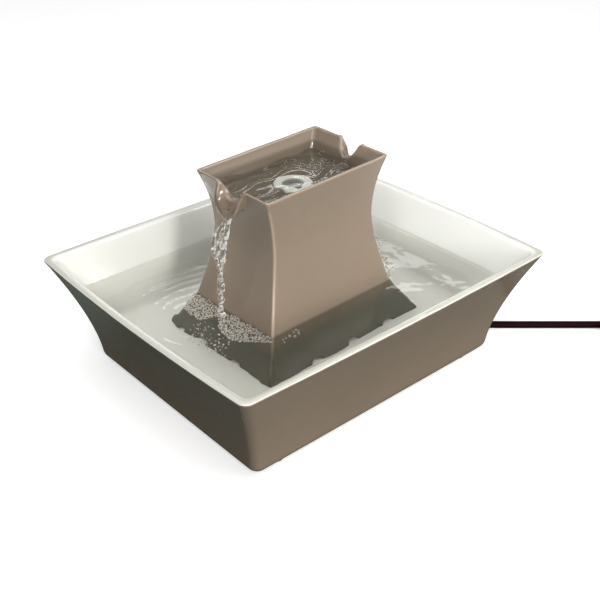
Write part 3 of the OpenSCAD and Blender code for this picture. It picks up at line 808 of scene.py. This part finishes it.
wr = []
outline = bring(LEVEL, 6.4, 6.5)
ks = np.concatenate([[1.0, 0.996, 0.99, 0.983], np.linspace(0.975, 0.02, 128)])
for s in ks:
    q = outline.copy()
    q[:, :2] *= s
    q[:, 2] = level(q[:, 0], q[:, 1])
    wr.append(q)
wr = wr[::-1]
under = []
for z, d in ((60, 6.4), (52, 6.4), (42, 6.4), (32, 6.4), (24, 6.4), (19, 8), (15.4, 11), (13.4, 15.5), (12.6, 22)):
    under.append(bring(z, d, 7))
base_ring = under[-1]
for s in (0.6, 0.2, 0.02):
    q = base_ring.copy()
    q[:, :2] *= s
    under.append(q)
allr = wr + under
nw = len(outline)
Vw = np.concatenate(allr)
Fw = loft_faces(len(allr), nw).tolist()
Fw = [f[::-1] for f in Fw]
Fw.append(list(range(nw)))
Fw.append(list(range(len(Vw) - nw, len(Vw)))[::-1])
pool = make_obj("basin_water", Vw, Fw, [M_WATER], "base")


def tray_level(x, y):
    r = np.sqrt(x * x + y * y)
    th0 = np.arctan2(y, x)
    calm = 0.25 + 0.75 * sstep((r - 14) / 14)
    h = 154.3 + 0.7 * np.exp(-((x - 4) / 22.0) ** 2 - ((y - 6) / 14.0) ** 2)
    wx = x + waves(x, y, 23, 6, (30, 60), 3.0)
    wy = y + waves(x, y, 24, 6, (30, 60), 2.0)
    h = h + 0.55 * np.sin(2 * np.pi * (np.sqrt((wx / 1.7) ** 2 + wy ** 2) + 1.3 * np.sin(2 * th0 + 1)) / 11.5 - 1.6) * sstep((r - 12) / 12)
    h = h + waves(wx, wy, 21, 14, (11, 24), 0.56, (2.6, 0.8)) * calm
    h = h + waves(wx, wy, 22, 10, (6, 10), 0.05, (2.4, 0.9)) * calm
    return h


def tray_water_f(x, y, z):
    ax, ay = np.abs(x), np.abs(y)
    flat = z
    z = mouth_z(x, y, z)
    a, b = tx(z), ty(z)
    reg = smax(rbox2(ax - (a - 3.3), ay - (b - 3.3), 3), 142.1 - flat, 3.0)
    u = spout_u(x, y)
    sy = np.abs(u)
    wn = notch_w(u, z, x)
    ch = smax(sy - (wn + 0.3), lip_floor(ax) - 0.5 - z, 12.0)
    ch = smax(ch, ax - 62.2, 0.8)
    ch = smax(ch, 46 - ax, 1.0)
    ch = smax(ch, sy - (9.0 - 1.2 * np.clip(ax - 57, 0, 5)), 2.0)
    reg = smin(reg, ch, 0.6)
    t = sstep((ax - 49.5) / 8.0)
    top = tray_level(x, y) * (1 - t) + (lip_floor(ax) + 1.3 + flat - z) * t
    return smax(reg, flat - top, 0.6)


hw = 0.8
v, q, _ = surface_nets(tray_water_f, (-64.6, -39.9, 138.1), (64.9, 40.2, 163.5), hw)
tray_water = make_obj("tray_water", turned(v), q, [M_WATER], "tower")


def soft_path(zs, vs, width=3.0):
    """Smooth curve through knots given from high to low z, as a function of z."""
    zz = np.arange(50.0, 150.0, 0.5)
    t = np.interp(zz, zs[::-1], vs[::-1])
    k = np.exp(-0.5 * (np.arange(-24, 25) * 0.5 / width) ** 2)
    t = np.convolve(np.pad(t, 24, mode="edge"), k / k.sum(), mode="valid")
    return lambda z: np.interp(z, zz, t)


# the sheet leaves the lip, its two thick edges swing apart, meet again and twist down together
EDGE_L = soft_path([146, 141, 134, 124, 111, 102, 92, 84, 74, 63, 55], [2.2, 2.8, 7.0, 12.6, 11.2, 6.2, 5.4, 4.6, 5.4, 5.4, 5.4])
EDGE_R = soft_path([146, 141, 138, 128, 115, 105, 92, 84, 72, 63, 55], [-2.8, -3.0, -3.0, -2.6, 0.6, 1.2, 0.8, 0.6, -0.6, -1.4, -1.4])
TAIL = soft_path([146, 132, 124, 116, 108, 100, 90, 80, 70, 62, 55], [0.5, 4.0, 9.0, 4.0, 8.0, 3.0, 4.6, 1.2, 4.4, 1.0, 1.4])
BRAID = soft_path([146, 134, 127, 119, 111, 103, 94, 86, 77, 68, 55], [-0.5, 2.4, 1.0, 9.0, 3.0, 5.4, 1.6, 4.6, 0.6, 3.6, 2.4], 2.2)
THIRD = soft_path([146, 134, 126, 118, 110, 102, 94, 86, 77, 68, 55], [0.2, 0.2, 5.6, 6.4, 7.0, 2.2, 3.6, 2.2, 2.6, 2.0, 2.0], 2.2)


def stream_f(side):
    r = np.random.default_rng(11 + side)
    ph = r.uniform(0, 6.28, (5, 4))

    def f(x, y, z):
        s = np.clip((142 - z) / 79.0, 0, 1)
        cx = -(60.9 + 12.4 * s ** 0.62 - 3.0 * s)
        g = sstep(s * 2.2)
        d = None
        low = sstep((112 - z) / 14)
        for k, (path, r0, r1) in enumerate(((EDGE_L, 1.2, 1.3), (EDGE_R, 1.55, 1.5), (TAIL, 1.1, 1.3), (BRAID, 1.0, 1.1), (THIRD, 0.8, 1.0))):
            p = ph[k]
            yy = path(z) + 0.35 * g * np.sin(z / 3.1 + p[0])
            xx = cx + 0.8 * g * np.sin(z / 4.2 + p[1]) + (0.9, -0.7, 0.1, 0.3, -0.2)[k] * low
            rr = (r0 * (1 - low) + r1 * low) * (1 + 0.24 * g * np.sin(z / 1.7 + p[2]) + 0.22 * g * np.sin(z / 0.75 + p[3]))
            e = np.sqrt((x - xx) ** 2 + (y - yy) ** 2) - rr
            d = e if d is None else smin(d, e, 0.7)
        ya, yb = EDGE_R(z), EDGE_L(z)
        film = smax(np.abs(x - cx) - (0.42 + 0.16 * np.sin(y * 1.1 + z / 3.0)), np.maximum(ya - y, y - yb), 0.4)
        film = smax(film, 104 - z, 2.0)
        f.film = film
        d = smin(d, film, 0.6)
        d = smax(d, z - 142.6, 0.5)
        d = smax(d, 62.0 - z, 0.5)
        return d
    return f


hs_ = 0.45
streams = []
for side in (0, 1):
    sf = stream_f(side)
    v, q, _ = surface_nets(sf, (-76.2, -9.9, 61.1), (-57.9, 16.3, 144.3), hs_, steps=2)
    mid = v[q].mean(1)
    sf(*mid.T)
    foam = np.sin(mid[:, 2] / 1.9 + 2.2 * np.sin(mid[:, 1] * 0.9)) + 0.9 * np.sin(mid[:, 2] / 0.83 + 1.7 * mid[:, 1]) + 0.5 * sstep((1.5 - mid[:, 1] * (1 if side == 0 else 1)) / 3) - 0.25
    thin_part = ((sf.film < 0.15) | (foam < 0.8)).astype(int)
    if side:
        v = v * np.array([-1, -1, 1])
    ob = make_obj("stream_near" if side == 0 else "stream_far", v, q, [M_AERATED, M_STREAM], None, mat_index=thin_part)
    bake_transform(ob)
    streams.append(ob)

# ---------------------------------------------------------------- bubbles and froth on the water
def bubble_mesh(centres, radii, seg=14, sec=6):
    """Many small bubbles in one mesh: each a thick watery ring round an open middle, uneven in width and tilt."""
    r = np.random.default_rng(31)
    t = np.linspace(0, 2 * np.pi, seg, endpoint=False)
    p = np.linspace(0, 2 * np.pi, sec, endpoint=False)
    T, P = np.meshgrid(t, p, indexing="ij")
    quad = [[i * sec + j, ((i + 1) % seg) * sec + j, ((i + 1) % seg) * sec + (j + 1) % sec, i * sec + (j + 1) % sec] for i in range(seg) for j in range(sec)]
    V_, F_ = [], []
    for c_, r_ in zip(centres, radii):
        o_ = len(V_) * seg * sec
        a0, a1 = r.uniform(0, 6.28, 2)
        wide = r_ * (1 + 0.16 * np.cos(2 * T + a0))
        th_ = (0.13 + 0.16 * r_) * (1 + 0.45 * np.cos(T + a1))
        x_ = (wide - th_ + th_ * np.cos(P)) * np.cos(T)
        y_ = (wide - th_ + th_ * np.cos(P)) * np.sin(T)
        z_ = th_ * 1.25 * np.sin(P) + 0.28 * r_ * np.cos(T + a1) + 0.15
        V_.append(np.stack([x_, y_, z_], -1).reshape(-1, 3) + c_)
        F_ += [[o_ + q_ for q_ in face] for face in quad]
    return np.concatenate(V_), F_


def bubble_field():
    r = np.random.default_rng(77)
    spots, size = [], []

    def patch(poly, n, lo, hi, gap):
        """Up to n bubbles inside a polygon, none closer to another than gap times their radii."""
        poly = np.array(poly, float)
        a_, b_ = poly.min(0), poly.max(0)
        got, tries = [], 0
        while len(got) < n and tries < n * 30:
            tries += 1
            p = a_ + (b_ - a_) * r.random(2)
            rad = lo + (hi - lo) * r.random() ** 1.6
            e0, e1 = poly, np.roll(poly, -1, 0)
            cross = ((e0[:, 1] > p[1]) != (e1[:, 1] > p[1])) & (p[0] < (e1[:, 0] - e0[:, 0]) * (p[1] - e0[:, 1]) / (e1[:, 1] - e0[:, 1] + 1e-9) + e0[:, 0])
            if cross.sum() % 2 == 0:
                continue
            if any((p[0] - g[0]) ** 2 + (p[1] - g[1]) ** 2 < (gap * (rad + g[2])) ** 2 for g in got):
                continue
            got.append((p[0], p[1], rad))
        for g in got:
            spots.append(np.array(g[:2]))
            size.append(g[2])

    for s_ in (1, -1):
        k_ = 1.0 if s_ == 1 else 0.25
        flip = lambda poly: [(px_ * s_, py_ * s_) for px_, py_ in poly]
        patch(flip([(-85, 28), (-76, 36), (-66, 41), (-63, 20), (-66, 5), (-72, 3), (-86, 9)]), int(150 * k_), 0.75, 1.7, 0.92)
        patch(flip([(-72, 3), (-62, -3), (-61, -44), (-66, -51), (-74, -42), (-84, -30), (-83, -14)]), int(235 * k_), 0.75, 1.7, 0.96)
        patch(flip([(-98, 9), (-84, 4), (-86, -30), (-100, -43), (-109, -10)]), int(64 * k_), 0.35, 1.0, 1.4)
        patch(flip([(-58, -53), (-40, -49), (-40, -55), (-58, -57)]), int(9 * k_), 0.6, 1.1, 1.5)
    P_ = np.array(spots)
    q_ = turned(P_, back=True)
    zt = np.full(len(P_), LEVEL)
    keep = rbox2(np.abs(q_[:, 0]) - tx(zt), np.abs(q_[:, 1]) - ty(zt), 3.6) > 1.3
    P_, R_ = P_[keep], np.array(size)[keep]
    return np.column_stack([P_, level(P_[:, 0], P_[:, 1]) + 0.1 * R_]), R_


bc_, br_ = bubble_field()
bv_, bf_ = bubble_mesh(bc_, br_)
froth = make_obj("surface_bubbles", bv_, bf_, [M_FROTH], "base")

# ---------------------------------------------------------------- CAD nodes that keep their shape
ABS_DARK = srgb(46, 49, 54)
LOOK = {
    "feet": plastic("foot_rubber", srgb(44, 43, 42), 0.7, 500, 0.00008, 0.2),
    "outlet_collar": M_SATIN,
    "collar_gasket": M_BLACK,
    "riser_tube": plastic("riser_plastic", srgb(205, 208, 204), 0.32, 800, 0.00002, 0.03),
    "riser_seal": M_BLACK,
    "filter_box": plastic("filter_plastic", srgb(62, 66, 72), 0.5, 900, 0.00005, 0.12),
    "filter_lid": plastic("lid_plastic", srgb(72, 77, 84), 0.48, 900, 0.00005, 0.12),
    "carbon_frame": plastic("frame_plastic", srgb(222, 222, 214), 0.4, 700, 0.00003, 0.05),
    "carbon_pouch": felt("pouch_felt", srgb(226, 224, 216)),
    "foam_block": foam_mat("filter_foam", srgb(58, 61, 66)),
    "pump_housing": plastic("pump_plastic", ABS_DARK, 0.42, 1000, 0.00004, 0.12),
    "pump_volute": plastic("volute_plastic", srgb(54, 58, 64), 0.40, 1000, 0.00004, 0.12),
    "volute_gasket": M_BLACK,
    "flow_dial": plastic("dial_plastic", srgb(178, 181, 186), 0.38, 900, 0.00003, 0.06),
    "impeller": M_SATIN,
    "rotor_magnet": plastic("ferrite", srgb(46, 46, 48), 0.35, 1300, 0.00002, 0.2),
    "impeller_shaft": plastic("shaft_ceramic", srgb(238, 238, 232), 0.12, 1200, 0.00001, 0.02, coat=0.4),
    "front_bush": M_BLACK,
    "rear_bush": M_BLACK,
    "stator_core": metal("stator_steel", srgb(160, 162, 166), 0.35, (0, 1, 0)),
    "coil_bobbins": plastic("bobbin_nylon", srgb(228, 220, 190), 0.45, 700, 0.00003, 0.06),
    "coil_windings": metal("copper_wire", srgb(188, 112, 66), 0.3, (1, 0, 0)),
    "potting_plug": plastic("potting_resin", srgb(26, 26, 28), 0.25, 300, 0.00006, 0.2),
    "suction_cups": plastic("cup_rubber", srgb(84, 86, 88), 0.45, 500, 0.00003, 0.12),
    "pump_lead": M_BLACK,
    "lead_boot": M_BLACK,
    "conduit_grommet": M_BLACK,
    "inline_plug": M_ABS,
    "inline_socket": M_ABS,
    "connector_clip": plastic("clip_plastic", srgb(196, 199, 200), 0.4, 800, 0.00003, 0.06),
    "cord_boot": M_BLACK,
    "coil_tie": M_BLACK,
    "adapter_boot": M_BLACK,
    "adapter_body": M_ABS,
    "adapter_cover": M_ABS,
    "adapter_blades": metal("nickel", srgb(214, 210, 198), 0.2, (0, 0, 1)),
}
for n, mat in LOOK.items():
    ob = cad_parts[n]
    ob.data.materials.clear()
    ob.data.materials.append(mat)

# ---------------------------------------------------------------- floor and light
def camera_switch(nt, seen, other):
    """Shader 'seen' for the direct view, 'other' for light that bounces."""
    lp = nt.nodes.new("ShaderNodeLightPath")
    ms = nt.nodes.new("ShaderNodeMixShader")
    nt.links.new(lp.outputs["Is Camera Ray"], ms.inputs[0])
    nt.links.new(other, ms.inputs[1])
    nt.links.new(seen, ms.inputs[2])
    return ms.outputs[0]


floor_mat = bpy.data.materials.new("studio_floor")
floor_mat.use_nodes = True
nt = floor_mat.node_tree
nt.nodes.clear()
out = nt.nodes.new("ShaderNodeOutputMaterial")
pale = node(nt, "ShaderNodeBsdfDiffuse", ins={"Color": (0.80, 0.80, 0.80, 1)})
glow = node(nt, "ShaderNodeEmission", ins={"Color": (1, 1, 1, 1), "Strength": 0.54})
add_ = nt.nodes.new("ShaderNodeAddShader")
nt.links.new(pale.outputs[0], add_.inputs[0])
nt.links.new(glow.outputs[0], add_.inputs[1])
dim = node(nt, "ShaderNodeBsdfDiffuse", ins={"Color": (0.125, 0.145, 0.13, 1)})
nt.links.new(camera_switch(nt, add_.outputs[0], dim.outputs[0]), out.inputs[0])
me = bpy.data.meshes.new("floor")
me.from_pydata([(-6, -6, -0.0002), (6, -6, -0.0002), (6, 6, -0.0002), (-6, 6, -0.0002)], [], [(0, 1, 2, 3)])
me.materials.append(floor_mat)
floor = bpy.data.objects.new("floor", me)
scene.collection.objects.link(floor)

world = bpy.data.worlds.new("studio")
scene.world = world
world.use_nodes = True
nt = world.node_tree
bg = nt.nodes["Background"]
wo = nt.nodes["World Output"]
bg.inputs["Color"].default_value = (1, 1, 1, 1)
bg.inputs["Strength"].default_value = 1.0
# the room is bright towards the -Y side and a little towards +Y, dim low down on the -X side
tc = nt.nodes.new("ShaderNodeTexCoord")


def lobe(direction, power, strength):
    d = nt.nodes.new("ShaderNodeVectorMath")
    d.operation = "DOT_PRODUCT"
    d.inputs[1].default_value = direction
    nt.links.new(tc.outputs["Generated"], d.inputs[0])
    return math_node(nt, "MULTIPLY", math_node(nt, "POWER", math_node(nt, "MAXIMUM", d.outputs["Value"], 0.0), power), strength)


room = nt.nodes.new("ShaderNodeBackground")
tone = math_node(nt, "ADD", lobe((0, -1, 0), 1.0, 0.90), lobe((0, 1, 0), 1.0, 0.47))
nt.links.new(tone, room.inputs["Color"])
room.inputs["Strength"].default_value = 1.0
nt.links.new(camera_switch(nt, bg.outputs[0], room.outputs[0]), wo.inputs[0])


def area(name, loc, target, size, power, color=(1, 1, 1), shape="RECTANGLE", size_y=None):
    d = bpy.data.lights.new(name, "AREA")
    d.shape = shape
    d.size = size
    if size_y:
        d.size_y = size_y
    d.energy = power
    d.color = color
    o = bpy.data.objects.new(name, d)
    scene.collection.objects.link(o)
    o.location = loc
    o.rotation_mode = "QUATERNION"
    o.rotation_quaternion = (Vector(target) - Vector(loc)).to_track_quat("-Z", "Y")
    return o


area("front", (-0.40, -1.27, 0.45), (0, 0, 0.08), 0.2, 10.1, (1.0, 0.99, 0.97), size_y=0.3)
area("key", (0.55, -1.05, 1.0), (0, 0, 0.05), 0.7, 4.0, (1.0, 0.985, 0.96), size_y=0.7)
area("top", (-0.1, 0.1, 1.4), (0, 0, 0), 1.1, 11, (1, 1, 1), size_y=1.1)
side = area("side", (-0.45, -0.42, 0.75), (0.15, -0.05, 0.05), 0.1, 0.038, (1, 1, 1), size_y=0.1)
side.data.spread = math.radians(18)
# cards that only show in the gloss: a strip beside the camera, one over the +X side, three behind for the ripples
for name, loc, size, power in (("strip", (-1.5, -1.32, 0.08), (0.12, 0.9), 24.0), ("rim_card", (0.9, -0.82, 1.04), (0.5, 0.5), 3.0), ("back_low", (0.95, 1.1, 0.77), (0.9, 0.12), 1.0), ("back_high", (0.75, 0.87, 1.35), (0.9, 0.2), 1.3), ("back_tray", (1.02, 1.18, 0.55), (0.9, 0.10), 0.8)):
    card = area(name, loc, (0, 0, 0.09), size[0], power, size_y=size[1])
    card.visible_diffuse = False
    card.visible_transmission = False
